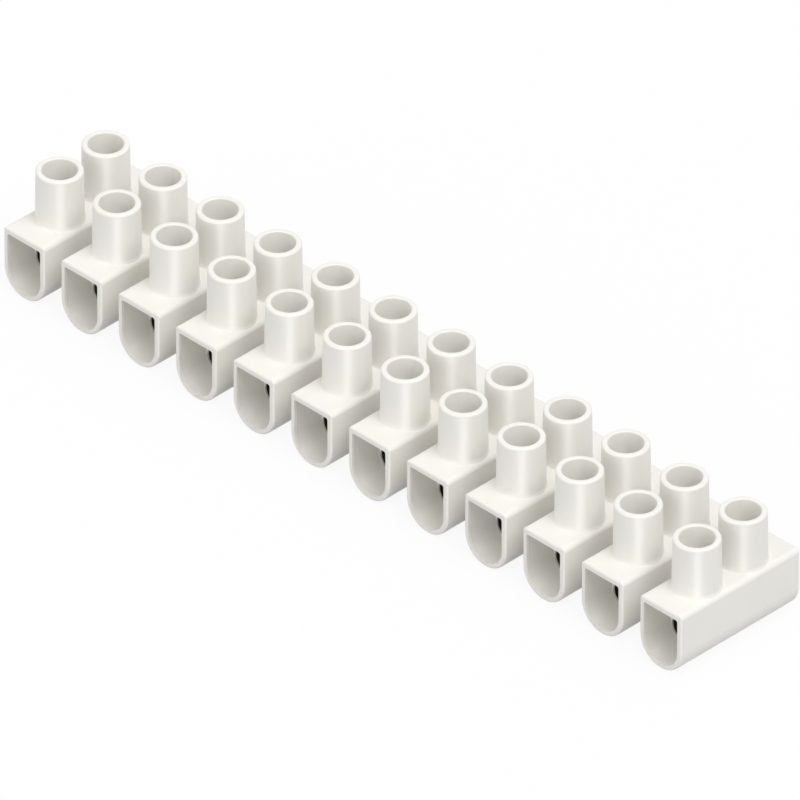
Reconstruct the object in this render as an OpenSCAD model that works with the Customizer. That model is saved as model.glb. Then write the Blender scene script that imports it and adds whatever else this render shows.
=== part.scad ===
// Screw terminal strip: one moulded housing, a contact sleeve in each way,
// and two clamping screws over each sleeve.
// The ways stand side by side along X, wires enter along Y, screws work along Z.
// The origin is under the middle of the strip, at the level it stands on.

/* [Strip] */
// Number of ways side by side
way_count = 12; // [2:1:18]
// Distance from one way to the next
pitch = 10; // [9.8:0.1:14]

/* [Way body] */
// Width of one way
way_w = 7.1; // [6.8:0.05:7.2]
// Length of a way, from mouth to mouth
way_len = 20.5; // [20:0.1:25]
// Height of a way without its towers
body_h = 9.25; // [9:0.05:10.5]
// Rounding of the long top edges
top_edge_r = 0.65; // [0.2:0.05:0.9]
// Rounding of the edges at both ends
end_edge_r = 0.28; // [0.1:0.02:0.3]

/* [Mouth] */
// Wall beside and under the mouth
mouth_wall = 0.68; // [0.5:0.02:0.76]
// Wall over the mouth
mouth_roof = 0.8; // [0.6:0.05:1.2]
// Depth of the mouth
mouth_depth = 3.7; // [2.5:0.05:4]
// Rounding of the two upper corners inside the mouth
mouth_corner_r = 0.3; // [0.1:0.05:0.6]
// Rounding of the inner end of the front mouth, towards the wire hole
mouth_end_r = 1; // [0.3:0.05:1.05]

/* [Tower] */
// Distance between the two towers of a way
tower_spacing = 7.95; // [7.2:0.05:8.3]
// Height of the towers above the body
tower_h = 7.15; // [6.2:0.05:10]
// Wall at the top of a tower
tower_wall = 0.75; // [0.5:0.05:0.9]
// How much wider the foot of a tower is than its top, on each side
tower_draft = 0.1; // [0.02:0.02:0.2]
// Height of the flared foot of a tower
foot_h = 0.5; // [0.2:0.05:0.6]
// Radius of the hollow curve of the flared foot
foot_hollow_r = 1; // [0.8:0.05:2]
// Rounding of the outer edge of the rim
rim_r = 0.3; // [0.1:0.02:0.36]
// Chamfer of the inner edge of the rim
rim_chamfer = 0.1; // [0.05:0.01:0.25]
// How much wider the well is above the screw than around its head, on each side
well_step = 0.25; // [0.2:0.01:0.3]

/* [Contact sleeve] */
// Outer diameter of the sleeve
sleeve_od = 5.4; // [5:0.05:5.5]
// Diameter of the wire hole
sleeve_bore = 3.5; // [3:0.05:3.7]
// Height of the axis of the sleeve
sleeve_z = 3.9; // [3.7:0.05:4.2]
// Clearance around the sleeve in its seat
sleeve_clear = 0.05; // [0.03:0.01:0.1]
// How far the rear end of the sleeve lies behind the floor of the rear mouth
sleeve_inset = 0.1; // [0:0.05:0.4]
// Thickness of the wall that stops the sleeve at the front
stop_t = 0.3; // [0.2:0.05:0.5]
// Lead-in chamfer at the rear end of the wire hole
lead_in = 0.3; // [0.1:0.05:0.5]

/* [Screw] */
// Diameter of the thread
thread_d = 2.9; // [2.4:0.05:3.1]
// Clearance around the thread in the tapped hole
thread_clear = 0.05; // [0.03:0.01:0.1]
// Length of the screw under its head
shank_len = 4.55; // [4.2:0.05:5]
// Chamfer at the tip
tip_chamfer = 0.35; // [0.1:0.05:0.5]
// Diameter of the head
head_d = 3.8; // [3.5:0.05:3.9]
// Height of the head
head_h = 1.8; // [1.4:0.05:2.2]
// Chamfer around the top of the head
head_chamfer = 0.2; // [0.05:0.05:0.4]
// Clearance around the head in the well
head_clear = 0.1; // [0.06:0.01:0.15]
// Width of the driver slot
slot_w = 0.8; // [0.5:0.05:1]
// Depth of the driver slot
slot_depth = 1; // [0.6:0.05:1.2]
// How far the tip of an open screw stands above the wire hole
open_gap = 0.05; // [0.02:0.01:0.3]
// Turn of the driver slot from one screw to the next
slot_turn = 47; // [0:1:180]

/* [Web] */
// Length of a web along the ways
web_len = 5.2; // [4:0.1:8]
// Thickness of a web
web_t = 2; // [1.2:0.1:3]
// Fillet where a web meets a way
web_fillet_r = 0.6; // [0.2:0.1:1]
// How far a web runs into the walls beside it
web_root = 0.4; // [0.2:0.05:0.6]
// Diameter of the fixing hole in a web
fix_hole_d = 2.7; // [2:0.1:2.8]

/* [Hidden] */
// A true circle
$fn = 64;
// Overshoot of a cut past the face it opens
over = 1;
// The round underside of a way is a half circle about this height
arc_z = way_w / 2;
half_len = way_len / 2;
mouth_w = way_w - 2 * mouth_wall;
mouth_floor_y = half_len - mouth_depth;
// Height of the straight part of a mouth, above its half-round bottom
mouth_straight_h = body_h - mouth_roof - arc_z;
// The sleeve is pushed in from the rear, up to the stop behind the front mouth
seat_d = sleeve_od + 2 * sleeve_clear;
seat_y0 = stop_t - mouth_floor_y;
sleeve_y0 = seat_y0 + sleeve_clear;
sleeve_y1 = mouth_floor_y - sleeve_inset;
tap_d = thread_d + 2 * thread_clear;
// Heights on an open screw
tip_z = sleeve_z + sleeve_bore / 2 + open_gap;
head_z = tip_z + shank_len;
head_top_z = head_z + head_h;
// The well: a guide around the head, and a wider stretch above the open screw
guide_d = head_d + 2 * head_clear;
well_d = guide_d + 2 * well_step;
well_step_z = head_top_z + head_clear;
rim_z = body_h + tower_h;
tower_top_r = well_d / 2 + tower_wall;
foot_r = tower_top_r + tower_draft;
foot_flare = foot_hollow_r - sqrt(pow(foot_hollow_r, 2) - pow(foot_h, 2));

// Places of the ways, of the gaps between them, and of the two towers of a way
ways = [for (i = [1:way_count]) i];
gaps = [for (i = [1:way_count - 1]) i];
sides = ["front", "rear"];
function way_x(i) = (i - (way_count + 1) / 2) * pitch;
function gap_x(i) = way_x(i) + pitch / 2;
function side_y(side) = (side == "front" ? -1 : 1) * tower_spacing / 2;

// Names of the nodes
function two_digits(i) = str(i < 10 ? "0" : "", i);
function sleeve_name(i) = str("contact_sleeve_", two_digits(i));
function screw_name(i, side) = str("screw_", two_digits(i), "_", side);

// A rectangle from the X axis up, with its two upper corners rounded
module arched_rectangle(w, h, r) {
    translate([-w / 2, 0]) square([w, h - r]);
    translate([r - w / 2, 0]) square([w - 2 * r, h]);
    for (x = [r - w / 2, w / 2 - r]) translate([x, h - r]) circle(r = r);
}

// A rectangle about the origin with all four corners rounded
module rounded_rectangle(w, l, r) {
    square([w, l - 2 * r], center = true);
    square([w - 2 * r, l], center = true);
    for (x = [r - w / 2, w / 2 - r], y = [r - l / 2, l / 2 - r]) translate([x, y]) circle(r = r);
}

// Stand an outline drawn in X and Z up, and run it along Y from y0 to y1
module along_y(y0, y1) {
    translate([0, y1, 0]) rotate([90, 0, 0]) linear_extrude(y1 - y0) children();
}

// The straight upper part of a way, rounded on its long and its end edges
module way_top() {
    intersection() {
        along_y(-half_len, half_len) arched_rectangle(way_w, body_h, top_edge_r);
        rotate([90, 0, 90])
            linear_extrude(way_w, center = true) arched_rectangle(way_len, body_h, end_edge_r);
        translate([0, 0, arc_z])
            linear_extrude(body_h - arc_z) rounded_rectangle(way_w, way_len, end_edge_r);
    }
}

// The lower half of a round bar along Y, about the height arc_z, with rounding around its ends
module half_round(w, l, r) {
    translate([0, 0, arc_z]) intersection() {
        rotate([90, 0, 0]) rotate_extrude() intersection() {
            rounded_rectangle(w, l, r);
            translate([0, -l / 2]) square([w / 2, l]);
        }
        translate([-w / 2, -l / 2, -w / 2]) cube([w, l, w / 2]);
    }
}

// A screw tower: a slightly tapered post with a flared foot and a rounded rim.
// Its root reaches down to where the rounded long edges of the way begin.
module tower() {
    translate([0, 0, body_h]) rotate_extrude() {
        translate([0, -top_edge_r]) square([foot_r + foot_flare, top_edge_r]);
        difference() {
            square([foot_r + foot_flare, foot_h]);
            translate([foot_r + foot_hollow_r, foot_h]) circle(r = foot_hollow_r);
        }
        polygon([
            [0, foot_h],
            [foot_r, foot_h],
            [tower_top_r, tower_h - rim_r],
            [0, tower_h - rim_r],
        ]);
        translate([0, tower_h - rim_r]) square([tower_top_r - rim_r, rim_r]);
        intersection() {
            translate([tower_top_r - rim_r, tower_h - rim_r]) circle(r = rim_r);
            translate([tower_top_r - rim_r, tower_h - rim_r]) square(rim_r);
        }
    }
}

// The well down a tower to the sleeve, with a chamfered rim
module well() {
    translate([0, 0, sleeve_z]) cylinder(d = guide_d, h = well_step_z - sleeve_z + head_clear);
    translate([0, 0, well_step_z]) cylinder(d = well_d, h = rim_z - well_step_z + over);
    translate([0, 0, rim_z - rim_chamfer])
        cylinder(d1 = well_d, d2 = well_d + 2 * (rim_chamfer + over), h = rim_chamfer + over);
}

// The U-shaped pocket that leads a wire to the sleeve, rounded at its inner end.
// It is cut as a whole bar about the front end of the way.
module front_mouth() {
    translate([0, -half_len, 0]) {
        half_round(mouth_w, 2 * mouth_depth, mouth_end_r);
        translate([0, 0, arc_z]) intersection() {
            along_y(-mouth_depth, mouth_depth)
                arched_rectangle(mouth_w, mouth_straight_h, mouth_corner_r);
            linear_extrude(mouth_straight_h)
                rounded_rectangle(mouth_w, 2 * mouth_depth, mouth_end_r);
        }
    }
}

// The same pocket at the rear, with a square inner end that lets the sleeve pass
module rear_mouth() {
    along_y(mouth_floor_y, half_len + over) translate([0, arc_z]) {
        circle(d = mouth_w);
        arched_rectangle(mouth_w, mouth_straight_h, mouth_corner_r);
    }
}

// One way of the housing, about X = 0
module way() {
    difference() {
        union() {
            way_top();
            half_round(way_w, way_len, end_edge_r);
            for (side = sides) translate([0, side_y(side), 0]) tower();
        }
        for (side = sides) translate([0, side_y(side), 0]) well();
        front_mouth();
        rear_mouth();
        along_y(seat_y0, mouth_floor_y) translate([0, sleeve_z]) circle(d = seat_d);
        along_y(-half_len, 0) translate([0, sleeve_z]) circle(d = sleeve_bore);
    }
}

// A slot about the origin, round at both ends
module stadium(w, d) {
    square([w - d, d], center = true);
    for (x = [d / 2 - w / 2, w / 2 - d / 2]) translate([x, 0]) circle(d = d);
}

// The web that joins two ways, about the middle of the gap between them
module web() {
    gap = pitch - way_w;
    translate([0, 0, arc_z]) linear_extrude(web_t, center = true) difference() {
        square([gap + 2 * web_root, web_len + 2 * web_fillet_r], center = true);
        for (y = [-1, 1]) translate([0, y * (web_len / 2 + web_fillet_r)])
            stadium(gap, 2 * web_fillet_r);
        circle(d = fix_hole_d);
    }
}

module housing() {
    color("#f1efe9") {
        for (i = ways) translate([way_x(i), 0, 0]) way();
        for (i = gaps) translate([gap_x(i), 0, 0]) web();
    }
}

module contact_sleeve(i) {
    color("#c9b48a") translate([way_x(i), 0, sleeve_z]) difference() {
        along_y(sleeve_y0, sleeve_y1) circle(d = sleeve_od);
        along_y(sleeve_y0 - over, sleeve_y1 + over) circle(d = sleeve_bore);
        translate([0, sleeve_y1 - lead_in, 0]) rotate([-90, 0, 0])
            cylinder(d1 = sleeve_bore, d2 = sleeve_bore + 2 * (lead_in + over), h = lead_in + over);
        for (side = sides) translate([0, side_y(side), 0]) cylinder(d = tap_d, h = sleeve_od);
    }
}

module screw(i, side) {
    turn = slot_turn * (2 * i + (side == "front" ? 0 : 1));
    color("#c8cacd") translate([way_x(i), side_y(side), 0]) rotate([0, 0, turn]) difference() {
        rotate_extrude() polygon([
            [0, tip_z],
            [thread_d / 2 - tip_chamfer, tip_z],
            [thread_d / 2, tip_z + tip_chamfer],
            [thread_d / 2, head_z],
            [head_d / 2, head_z],
            [head_d / 2, head_top_z - head_chamfer],
            [head_d / 2 - head_chamfer, head_top_z],
            [0, head_top_z],
        ]);
        translate([-head_d, -slot_w / 2, head_top_z - slot_depth])
            cube([2 * head_d, slot_w, slot_depth + over]);
    }
}

housing();
for (i = ways) contact_sleeve(i);
for (i = ways, side = sides) screw(i, side);
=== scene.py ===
import math

import bmesh
import bpy
from mathutils import Matrix, Vector


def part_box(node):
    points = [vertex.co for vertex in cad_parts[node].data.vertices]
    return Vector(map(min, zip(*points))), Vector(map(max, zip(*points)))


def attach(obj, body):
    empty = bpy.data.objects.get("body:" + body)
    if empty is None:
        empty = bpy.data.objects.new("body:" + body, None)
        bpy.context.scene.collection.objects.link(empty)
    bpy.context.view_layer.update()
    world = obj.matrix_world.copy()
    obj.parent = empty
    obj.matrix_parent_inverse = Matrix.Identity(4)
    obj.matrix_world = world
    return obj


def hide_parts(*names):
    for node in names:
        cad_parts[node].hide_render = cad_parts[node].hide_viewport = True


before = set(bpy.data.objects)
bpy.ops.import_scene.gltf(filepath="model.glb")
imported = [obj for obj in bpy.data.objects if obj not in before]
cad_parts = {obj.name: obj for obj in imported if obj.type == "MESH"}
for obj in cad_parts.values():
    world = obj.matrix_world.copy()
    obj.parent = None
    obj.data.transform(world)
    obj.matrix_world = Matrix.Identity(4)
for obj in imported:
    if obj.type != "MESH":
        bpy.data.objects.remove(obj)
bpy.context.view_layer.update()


# Housing: one injection moulding of natural white polyamide, with twelve ways in a row, two hollow
# screw towers on each and a web between neighbours. Its skin is satin, faintly grained by the
# polished mould but matte where cores made the wells and mouths, and its tone drifts with the flow.
way_count = 12
way_pitch = 10e-3
way_width = 7.1e-3
way_length = 20.5e-3
tower_spacing = 7.95e-3
well_radius = 2.25e-3
rim_chamfer = 0.1e-3
mouth_middle = (8.0e-3, 4.0e-3)
mouth_reach = (3.2e-3, 2.4e-3, 4.8e-3)
mouth_fade = 0.5
core_roughness = 0.85


def surface_grain():
    """Node group: grain of two sizes on a surface, a fine one and a broad one, each from 0 to 1."""
    group = bpy.data.node_groups.new("surface_grain", "ShaderNodeTree")
    sockets = group.interface
    for name in ("Fine Scale", "Broad Scale"):
        sockets.new_socket(name, in_out="INPUT", socket_type="NodeSocketFloat")
    for name in ("Fine", "Broad"):
        sockets.new_socket(name, in_out="OUTPUT", socket_type="NodeSocketFloat")
    nodes, links = group.nodes, group.links
    given = nodes.new("NodeGroupInput")
    result = nodes.new("NodeGroupOutput")
    place = nodes.new("ShaderNodeTexCoord")
    for name, detail in (("Fine", 3.0), ("Broad", 2.0)):
        noise = nodes.new("ShaderNodeTexNoise")
        noise.inputs["Detail"].default_value = detail
        links.new(place.outputs["Object"], noise.inputs["Vector"])
        links.new(given.outputs[name + " Scale"], noise.inputs["Scale"])
        links.new(noise.outputs["Fac"], result.inputs[name])
    return group


def grain_in(material, fine_per_m, broad_per_m):
    """Place the grain group in a material, with the number of grains in a metre."""
    node = material.node_tree.nodes.new("ShaderNodeGroup")
    node.node_tree = bpy.data.node_groups.get("surface_grain") or surface_grain()
    node.inputs["Fine Scale"].default_value = fine_per_m
    node.inputs["Broad Scale"].default_value = broad_per_m
    return node


def around_axis():
    """Node group: distance from an axis at one place in every way, and fine rings around it."""
    group = bpy.data.node_groups.new("around_axis", "ShaderNodeTree")
    sockets = group.interface
    for name in ("Axis Place", "Across"):
        sockets.new_socket(name, in_out="INPUT", socket_type="NodeSocketVector")
    sockets.new_socket("Rings per Metre", in_out="INPUT", socket_type="NodeSocketFloat")
    for name in ("Distance", "Rings"):
        sockets.new_socket(name, in_out="OUTPUT", socket_type="NodeSocketFloat")
    nodes, links = group.nodes, group.links
    given = nodes.new("NodeGroupInput")
    result = nodes.new("NodeGroupOutput")
    socket = nodes.new("ShaderNodeTexCoord").outputs["Object"]
    for step in ("WRAP", "ABSOLUTE", "SUBTRACT", "MULTIPLY", "LENGTH"):
        node = nodes.new("ShaderNodeVectorMath")
        node.operation = step
        links.new(socket, node.inputs[0])
        if step == "WRAP":
            node.inputs[1].default_value = (way_pitch, 1.0, 1.0)
            node.inputs[2].default_value = (0.0, -1.0, -1.0)
        elif step == "SUBTRACT":
            links.new(given.outputs["Axis Place"], node.inputs[1])
        elif step == "MULTIPLY":
            links.new(given.outputs["Across"], node.inputs[1])
        socket = node.outputs["Value" if step == "LENGTH" else "Vector"]
    links.new(socket, result.inputs["Distance"])
    rings = nodes.new("ShaderNodeTexNoise")
    rings.noise_dimensions = "1D"
    links.new(socket, rings.inputs["W"])
    links.new(given.outputs["Rings per Metre"], rings.inputs["Scale"])
    links.new(rings.outputs["Fac"], result.inputs["Rings"])
    return group


def axis_in(material, place, across, rings_per_m=14000.0):
    """Place the group around an axis in a material, for an axis at the given place in each way."""
    node = material.node_tree.nodes.new("ShaderNodeGroup")
    node.node_tree = bpy.data.node_groups.get("around_axis") or around_axis()
    node.inputs["Axis Place"].default_value = place
    node.inputs["Across"].default_value = across
    node.inputs["Rings per Metre"].default_value = rings_per_m
    return node


def new_material(name):
    """An empty material with a shader, ready for its finish."""
    material = bpy.data.materials.new(name)
    material.use_nodes = True
    return material, material.node_tree.nodes["Principled BSDF"]


def tint_between(material, shader, mask, low, high):
    """Colour the surface between two tones by a mask."""
    mix = material.node_tree.nodes.new("ShaderNodeMix")
    mix.data_type = "RGBA"
    mix.inputs["A"].default_value = (*low, 1.0)
    mix.inputs["B"].default_value = (*high, 1.0)
    material.node_tree.links.new(mask, mix.inputs["Factor"])
    material.node_tree.links.new(mix.outputs["Result"], shader.inputs["Base Color"])


def roughness_between(material, shader, mask, low, high):
    """Vary the roughness between two values by a mask."""
    spread = material.node_tree.nodes.new("ShaderNodeMapRange")
    spread.inputs["To Min"].default_value = low
    spread.inputs["To Max"].default_value = high
    material.node_tree.links.new(mask, spread.inputs["Value"])
    material.node_tree.links.new(spread.outputs["Result"], shader.inputs["Roughness"])


def relief(material, shader, height, depth, strength):
    """Raise the surface by a height of 0 to 1 over a depth in metres, on any relief before it."""
    links = material.node_tree.links
    bump = material.node_tree.nodes.new("ShaderNodeBump")
    bump.inputs["Distance"].default_value = depth
    bump.inputs["Strength"].default_value = strength
    links.new(height, bump.inputs["Height"])
    normal = shader.inputs["Normal"]
    if normal.is_linked:
        links.new(normal.links[0].from_socket, bump.inputs["Normal"])
    links.new(bump.outputs["Normal"], normal)


def within(material, distance, reach, fade, most=1.0):
    """A mask that has its most within a reach of a place or axis, and fades to 0 outside it."""
    inside = material.node_tree.nodes.new("ShaderNodeMapRange")
    inside.inputs["From Min"].default_value = reach + fade
    inside.inputs["From Max"].default_value = reach
    inside.inputs["To Max"].default_value = most
    material.node_tree.links.new(distance, inside.inputs["Value"])
    return inside.outputs["Result"]


def matte_within(material, shader, place, across, reach, fade, matte):
    """Raise the roughness to a matte value within a reach of a place or axis of each way."""
    links = material.node_tree.links
    distance = axis_in(material, place, across).outputs["Distance"]
    rougher = material.node_tree.nodes.new("ShaderNodeMath")
    rougher.operation = "MAXIMUM"
    links.new(shader.inputs["Roughness"].links[0].from_socket, rougher.inputs[0])
    links.new(within(material, distance, reach, fade, most=matte), rougher.inputs[1])
    links.new(rougher.outputs["Value"], shader.inputs["Roughness"])


def moulded_polyamide(name, low, high):
    """Natural polyamide, whose tone drifts between two tints."""
    material, shader = new_material(name)
    grain = grain_in(material, fine_per_m=6000.0, broad_per_m=140.0)
    tint_between(material, shader, grain.outputs["Broad"], low, high)
    roughness_between(material, shader, grain.outputs["Fine"], low=0.36, high=0.52)
    matte_within(
        material, shader, place=(way_pitch / 2, tower_spacing / 2, 0.0), across=(1.0, 1.0, 0.0),
        reach=well_radius, fade=rim_chamfer, matte=core_roughness,
    )
    matte_within(
        material, shader, place=(way_pitch / 2, *mouth_middle), across=[1 / r for r in mouth_reach],
        reach=1.0 - mouth_fade, fade=mouth_fade, matte=core_roughness,
    )
    relief(material, shader, grain.outputs["Fine"], depth=1.5e-5, strength=0.25)
    shader.inputs["IOR"].default_value = 1.53
    return material


def finish_node(name, material):
    """Give a node of the frame its own finish."""
    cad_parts[name].material_slots[0].material = material


finish_node(
    "housing",
    moulded_polyamide("moulded_polyamide", low=(0.85, 0.832, 0.79), high=(0.89, 0.872, 0.83)),
)


# Mouth funnels: part of the same moulding, the thickening of the sides and underside of each front
# mouth, which leads a wire to its hole. Each is a wedge sunk into the wall, with its thin edge out,
# and its skin is painted a shade greyer than the outside, as painted shade in the recess of the
# mouth.
mouth_wall = 0.68e-3
mouth_depth = 3.7e-3
mouth_roof_height = 8.45e-3
hole_radius = 1.75e-3
hole_height = 3.9e-3
hole_rim = 0.02e-3
funnel_start = 0.25e-3
funnel_sunk = 0.05e-3
funnel_edge_deg = 30.0
arc_steps = 32


def add_funnel(bm, x):
    """A wedge that runs down one side of a mouth, around its underside and up the other side."""
    front = funnel_start - way_length / 2
    back = mouth_depth + funnel_sunk - way_length / 2
    top = mouth_roof_height + funnel_sunk
    wide, narrow = way_width / 2 - mouth_wall + funnel_sunk, hole_radius + hole_rim

    def station(across, wide_z, narrow_z):
        places = ((wide, front, wide_z), (wide, back, wide_z), (narrow, back, narrow_z))
        return [bm.verts.new((x + across * half, y, z)) for half, y, z in places]

    stations = [station(1.0, top, top)]
    for step in range(arc_steps + 1):
        turn = math.pi * step / arc_steps
        drop = math.sin(turn)
        stations.append(
            station(math.cos(turn), way_width / 2 - wide * drop, hole_height - narrow * drop)
        )
    stations.append(station(-1.0, top, top))
    for here, there in zip(stations, stations[1:]):
        for i in range(3):
            j = (i + 1) % 3
            bm.faces.new((here[i], here[j], there[j], there[i])).smooth = True
    bm.faces.new(stations[0])
    bm.faces.new(stations[-1])


bm = bmesh.new()
for way in range(way_count):
    add_funnel(bm, (way - (way_count - 1) / 2) * way_pitch)
bmesh.ops.recalc_face_normals(bm, faces=bm.faces)
funnel_mesh = bpy.data.meshes.new("mouth_funnels")
bm.to_mesh(funnel_mesh)
bm.free()
funnel_mesh.set_sharp_from_angle(angle=math.radians(funnel_edge_deg))
# Painted shade: the funnels' tints are darker than the housing's, to stand for the shade inside the
# mouths.
funnel_mesh.materials.append(
    moulded_polyamide("mouth_polyamide_painted_shade", low=(0.71, 0.692, 0.645), high=(0.75, 0.732, 0.685))
)
funnels = bpy.data.objects.new("mouth_funnels", funnel_mesh)
bpy.context.scene.collection.objects.link(funnels)
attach(funnels, "strip")


# Contact sleeves: twelve short tubes turned from brass bar, cross drilled and tapped for the two
# screws, then nickel plated; the bore is painted dark, as painted shade inside the tube. Each is
# pushed in from the rear up to a stop, and its screws hold it.
bore_edge = 0.04e-3


def tint_where(material, shader, mask, tint):
    """Colour the surface with one tint where a mask says so, over the colour before it."""
    links = material.node_tree.links
    mix = material.node_tree.nodes.new("ShaderNodeMix")
    mix.data_type = "RGBA"
    mix.inputs["B"].default_value = (*tint, 1.0)
    links.new(mask, mix.inputs["Factor"])
    links.new(shader.inputs["Base Color"].links[0].from_socket, mix.inputs["A"])
    links.new(mix.outputs["Result"], shader.inputs["Base Color"])


def plated_sleeve():
    """Nickel plated brass with faint rings from the lathe, and a bore painted dark as shade."""
    material, shader = new_material("plated_sleeve")
    grain = grain_in(material, fine_per_m=9000.0, broad_per_m=400.0)
    marks = axis_in(material, place=(way_pitch / 2, 0.0, hole_height), across=(1.0, 0.0, 1.0))
    tint_between(
        material, shader, grain.outputs["Broad"], low=(0.55, 0.48, 0.34), high=(0.64, 0.58, 0.45)
    )
    # Painted shade: the bore is tinted near black to stand for the shade deep inside the tube.
    bore_shade = within(
        material, marks.outputs["Distance"], reach=hole_radius + bore_edge, fade=bore_edge
    )
    tint_where(material, shader, bore_shade, tint=(0.17, 0.15, 0.11))
    roughness_between(material, shader, marks.outputs["Rings"], low=0.22, high=0.44)
    relief(material, shader, grain.outputs["Fine"], depth=0.8e-5, strength=0.25)
    relief(material, shader, marks.outputs["Rings"], depth=1.0e-5, strength=0.4)
    shader.inputs["Metallic"].default_value = 1.0
    return material


sleeve_finish = plated_sleeve()
for way in range(1, way_count + 1):
    finish_node(f"contact_sleeve_{way:02d}", sleeve_finish)


# Clamping screws: twenty-four slotted screws of zinc plated steel with a rolled thread, one down
# each tower. At rest they are backed off until the tip clears the wire hole.
shank_length = 4.55e-3
thread_radius = 1.45e-3
thread_pitch = 0.5e-3
thread_depth = 0.27e-3
crest_width = 0.06e-3
tip_chamfer = 0.35e-3
head_chamfer = 0.2e-3
slot_width = 0.8e-3
slot_depth = 1.0e-3
slot_edge = 0.04e-3
slot_turn_deg = 47.0
steps_per_turn = 28
turns_below_tip = 2
merge_distance = 1e-7
on_plane = 1e-8
sharp_edge_deg = 40.0


def loop_radius(verts, radius):
    """Move the vertices of a loop to one distance from the Z axis."""
    for v in verts:
        v.co.xy = v.co.xy.normalized() * radius


def grow(bm, loop, radius, height):
    """Extrude an open edge loop to a new radius and height, and return the new loop."""
    made = bmesh.ops.extrude_edge_only(bm, edges=loop)["geom"]
    verts = [g for g in made if isinstance(g, bmesh.types.BMVert)]
    loop_radius(verts, radius)
    for v in verts:
        v.co.z = height
    return [g for g in made if isinstance(g, bmesh.types.BMEdge) and g.is_boundary]


def open_loop(bm, height):
    """The open edges of a mesh at one height."""
    return [
        e for e in bm.edges
        if e.is_boundary and all(abs(v.co.z - height) < merge_distance for v in e.verts)
    ]


def screw_mesh(head_radius, head_height):
    """A slotted screw about the Z axis, with its tip at the origin."""
    bm = bmesh.new()
    middle, half_crest = thread_pitch / 2, crest_width / 2
    root = thread_radius - thread_depth
    outline = [
        (root, 0.0), (thread_radius, middle - half_crest), (thread_radius, middle + half_crest),
        (root, thread_pitch),
    ]
    verts = [bm.verts.new((r, 0.0, z - turns_below_tip * thread_pitch)) for r, z in outline]
    edges = [bm.edges.new(pair) for pair in zip(verts, verts[1:])]
    turns = math.ceil(shank_length / thread_pitch) + turns_below_tip + 1
    bmesh.ops.spin(
        bm, geom=verts + edges, axis=(0, 0, 1), cent=(0, 0, 0),
        dvec=(0, 0, thread_pitch / steps_per_turn), angle=2 * math.pi * turns,
        steps=steps_per_turn * turns,
    )
    bmesh.ops.remove_doubles(bm, verts=bm.verts, dist=merge_distance)
    for height, up in ((tip_chamfer, -1), (shank_length, 1)):
        bmesh.ops.bisect_plane(
            bm, geom=bm.verts[:] + bm.edges[:] + bm.faces[:], dist=on_plane,
            plane_co=(0, 0, height), plane_no=(0, 0, up), clear_outer=True,
        )
    tip = grow(bm, open_loop(bm, tip_chamfer), thread_radius - tip_chamfer, 0.0)
    bmesh.ops.contextual_create(bm, geom=tip)
    top = shank_length + head_height
    rim = grow(bm, open_loop(bm, shank_length), head_radius, shank_length)
    rim = grow(bm, rim, head_radius, top - head_chamfer)
    rim = grow(bm, rim, head_radius - head_chamfer, top)
    bmesh.ops.contextual_create(bm, geom=rim)
    bmesh.ops.recalc_face_normals(bm, faces=bm.faces)
    mesh = bpy.data.meshes.new("slotted_screw")
    bm.to_mesh(mesh)
    bm.free()
    return cut_slot(mesh, head_radius, top)


def cut_slot(mesh, head_radius, top):
    """Cut the driver slot across the head, and break its edges."""
    bm = bmesh.new()
    size = Matrix.Diagonal((3 * head_radius, slot_width, 2 * slot_depth, 1.0))
    bmesh.ops.create_cube(bm, size=1.0, matrix=Matrix.Translation((0, 0, top)) @ size)
    cutter_mesh = bpy.data.meshes.new("slot_cutter")
    bm.to_mesh(cutter_mesh)
    bm.free()
    blank = bpy.data.objects.new("screw_blank", mesh)
    cutter = bpy.data.objects.new("slot_cutter", cutter_mesh)
    for obj in (blank, cutter):
        bpy.context.scene.collection.objects.link(obj)
    cut = blank.modifiers.new("slot", "BOOLEAN")
    cut.object = cutter
    cut.solver = "EXACT"
    finished = blank.evaluated_get(bpy.context.evaluated_depsgraph_get())
    slotted = bpy.data.meshes.new_from_object(finished)
    for obj in (blank, cutter):
        bpy.data.objects.remove(obj)
    bm = bmesh.new()
    bm.from_mesh(slotted)
    bmesh.ops.remove_doubles(bm, verts=bm.verts, dist=2 * merge_distance)
    sharp = [
        e for e in bm.edges
        if e.is_manifold and e.calc_face_angle() > math.radians(sharp_edge_deg)
        and min(v.co.z for v in e.verts) > shank_length + 10 * merge_distance
    ]
    bmesh.ops.bevel(
        bm, geom=sharp, offset=slot_edge, segments=2, profile=0.5, affect="EDGES", material=-1,
        clamp_overlap=True,
    )
    bm.to_mesh(slotted)
    bm.free()
    return slotted


def zinc_plate():
    """Zinc plated steel with faint rings around the axis of each screw."""
    material, shader = new_material("zinc_plate")
    grain = grain_in(material, fine_per_m=7000.0, broad_per_m=500.0)
    marks = axis_in(material, place=(way_pitch / 2, tower_spacing / 2, 0.0), across=(1.0, 1.0, 0.0))
    tint_between(
        material, shader, grain.outputs["Broad"], low=(0.54, 0.55, 0.56), high=(0.66, 0.67, 0.69)
    )
    roughness_between(material, shader, grain.outputs["Fine"], low=0.24, high=0.42)
    relief(material, shader, grain.outputs["Fine"], depth=0.8e-5, strength=0.25)
    relief(material, shader, marks.outputs["Rings"], depth=1.0e-5, strength=0.4)
    shader.inputs["Metallic"].default_value = 1.0
    return material


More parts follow.
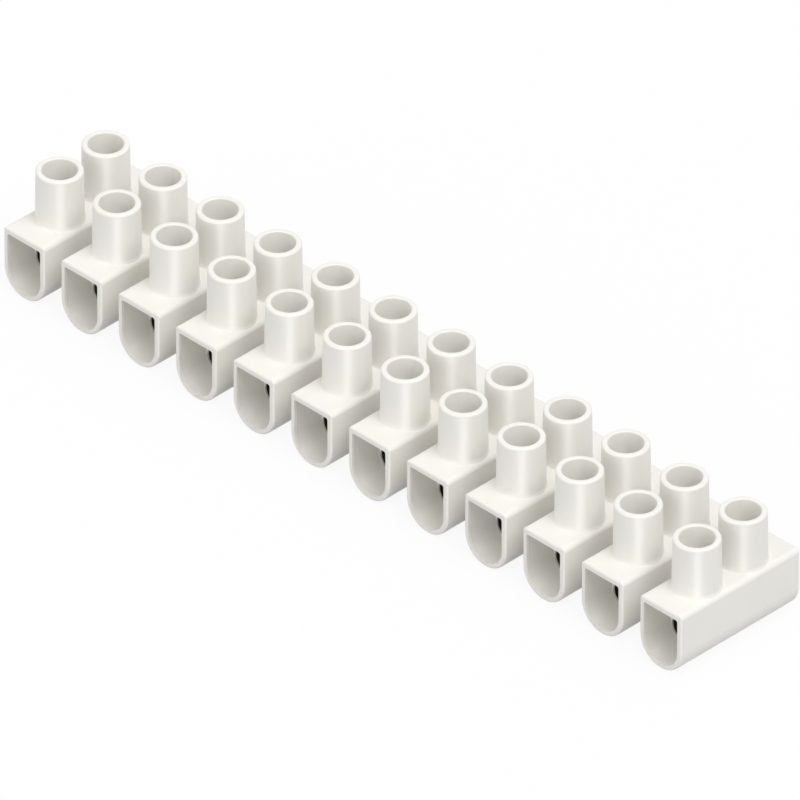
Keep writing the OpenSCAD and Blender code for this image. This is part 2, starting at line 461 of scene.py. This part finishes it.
zinc_finish = zinc_plate()
low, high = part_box("screw_01_front")
head_radius = max(high.x - low.x, high.y - low.y) / 2
slotted_screw = screw_mesh(head_radius, high.z - low.z - shank_length)
for way in range(1, way_count + 1):
    for turn, side in enumerate(("front", "rear"), start=2 * way):
        node = f"screw_{way:02d}_{side}"
        low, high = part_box(node)
        mesh = slotted_screw.copy()
        mesh.transform(
            Matrix.Translation(((low.x + high.x) / 2, (low.y + high.y) / 2, low.z))
            @ Matrix.Rotation(math.radians(slot_turn_deg * turn), 4, "Z")
        )
        mesh.materials.append(zinc_finish)
        screw = bpy.data.objects.new(f"slotted_screw_{way:02d}_{side}", mesh)
        bpy.context.scene.collection.objects.link(screw)
        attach(screw, node)
        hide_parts(node)


# Studio: a plain white floor and backdrop, even light from all around and soft lamps at the right
# end and in front. A low one shows only in the gloss. The camera has an isometric view.
camera_azimuth = math.radians(45.0)
camera_elevation = math.asin(1 / math.sqrt(3))
camera_distance = 4.45
picture_width = 0.09783
aim_right = 0.1e-3
aim_up = 5.87e-3
floor_half_width = 3.0


def direction(azimuth, elevation):
    """From the strip outwards: azimuth 0 is in front of it, and 90 degrees at its right end."""
    flat = math.cos(elevation)
    return Vector((math.sin(azimuth) * flat, -math.cos(azimuth) * flat, math.sin(elevation)))


back = direction(camera_azimuth, camera_elevation)
right = Vector((math.cos(camera_azimuth), math.sin(camera_azimuth), 0.0))
up = back.cross(right)
camera = bpy.data.objects.new("camera", bpy.data.cameras.new("camera"))
camera.data.lens = camera.data.sensor_width * camera_distance / picture_width
camera.data.clip_start = 0.1
camera.data.clip_end = 20.0
camera.rotation_mode = "QUATERNION"
camera.rotation_quaternion = (-back).to_track_quat("-Z", "Y")
camera.location = back * camera_distance + right * aim_right + up * aim_up
bpy.context.scene.collection.objects.link(camera)
bpy.context.scene.camera = camera


def soft_lamp(name, azimuth_deg, elevation_deg, strength, spread_deg):
    """A lamp far away, as wide as its spread."""
    lamp = bpy.data.lights.new(name, "SUN")
    lamp.energy = strength
    lamp.angle = math.radians(spread_deg)
    obj = bpy.data.objects.new(name, lamp)
    towards = direction(math.radians(azimuth_deg), math.radians(elevation_deg))
    obj.rotation_mode = "QUATERNION"
    obj.rotation_quaternion = towards.to_track_quat("Z", "Y")
    bpy.context.scene.collection.objects.link(obj)
    return obj


soft_lamp("side_lamp", azimuth_deg=85.0, elevation_deg=60.0, strength=1.5, spread_deg=40.0)
soft_lamp("front_lamp", azimuth_deg=-10.0, elevation_deg=18.0, strength=0.45, spread_deg=40.0)
gloss_lamp = soft_lamp(
    "gloss_lamp", azimuth_deg=47.0, elevation_deg=-32.0, strength=1.6, spread_deg=25.0
)
gloss_lamp.visible_diffuse = False
gloss_lamp.data.use_shadow = False


def seen_as_white(tree, lit, white, share):
    """Mix a share of plain white into a lit shader, for camera, glossy and transmission rays."""
    nodes, links = tree.nodes, tree.links
    path = nodes.new("ShaderNodeLightPath")
    either = nodes.new("ShaderNodeMath")
    either.operation = "MAXIMUM"
    any_of = nodes.new("ShaderNodeMath")
    any_of.operation = "MAXIMUM"
    part = nodes.new("ShaderNodeMath")
    part.operation = "MULTIPLY"
    part.inputs[1].default_value = share
    mix = nodes.new("ShaderNodeMixShader")
    links.new(path.outputs["Is Camera Ray"], either.inputs[0])
    links.new(path.outputs["Is Glossy Ray"], either.inputs[1])
    links.new(either.outputs[0], any_of.inputs[0])
    links.new(path.outputs["Is Transmission Ray"], any_of.inputs[1])
    links.new(any_of.outputs[0], part.inputs[0])
    links.new(part.outputs[0], mix.inputs["Fac"])
    links.new(lit, mix.inputs[1])
    links.new(white, mix.inputs[2])
    return mix.outputs["Shader"]


world = bpy.data.worlds.new("studio")
bpy.context.scene.world = world
world.use_nodes = True
even_light = world.node_tree.nodes["Background"]
even_light.inputs["Color"].default_value = (1.0, 1.0, 1.0, 1.0)
even_light.inputs["Strength"].default_value = 0.64
white_wall = world.node_tree.nodes.new("ShaderNodeBackground")
white_wall.inputs["Strength"].default_value = 1.0
world.node_tree.links.new(
    seen_as_white(world.node_tree, even_light.outputs[0], white_wall.outputs[0], share=1.0),
    world.node_tree.nodes["World Output"].inputs["Surface"],
)


def studio_floor():
    """Pale paper, which the camera sees as white with a faint shadow of the strip."""
    material, shader = new_material("studio_floor")
    tree = material.node_tree
    grain = grain_in(material, fine_per_m=900.0, broad_per_m=8.0)
    tint_between(
        material, shader, grain.outputs["Broad"], low=(0.50, 0.50, 0.50), high=(0.52, 0.52, 0.52)
    )
    shader.inputs["Roughness"].default_value = 0.9
    white = tree.nodes.new("ShaderNodeEmission")
    white.inputs["Strength"].default_value = 1.07
    tree.links.new(
        seen_as_white(tree, shader.outputs[0], white.outputs[0], share=0.85),
        tree.nodes["Material Output"].inputs["Surface"],
    )
    return material


bm = bmesh.new()
bmesh.ops.create_grid(bm, x_segments=1, y_segments=1, size=floor_half_width)
floor_mesh = bpy.data.meshes.new("floor")
bm.to_mesh(floor_mesh)
bm.free()
floor_mesh.materials.append(studio_floor())
floor = bpy.data.objects.new("floor", floor_mesh)
bpy.context.scene.collection.objects.link(floor)

bpy.context.scene.view_settings.view_transform = "Standard"
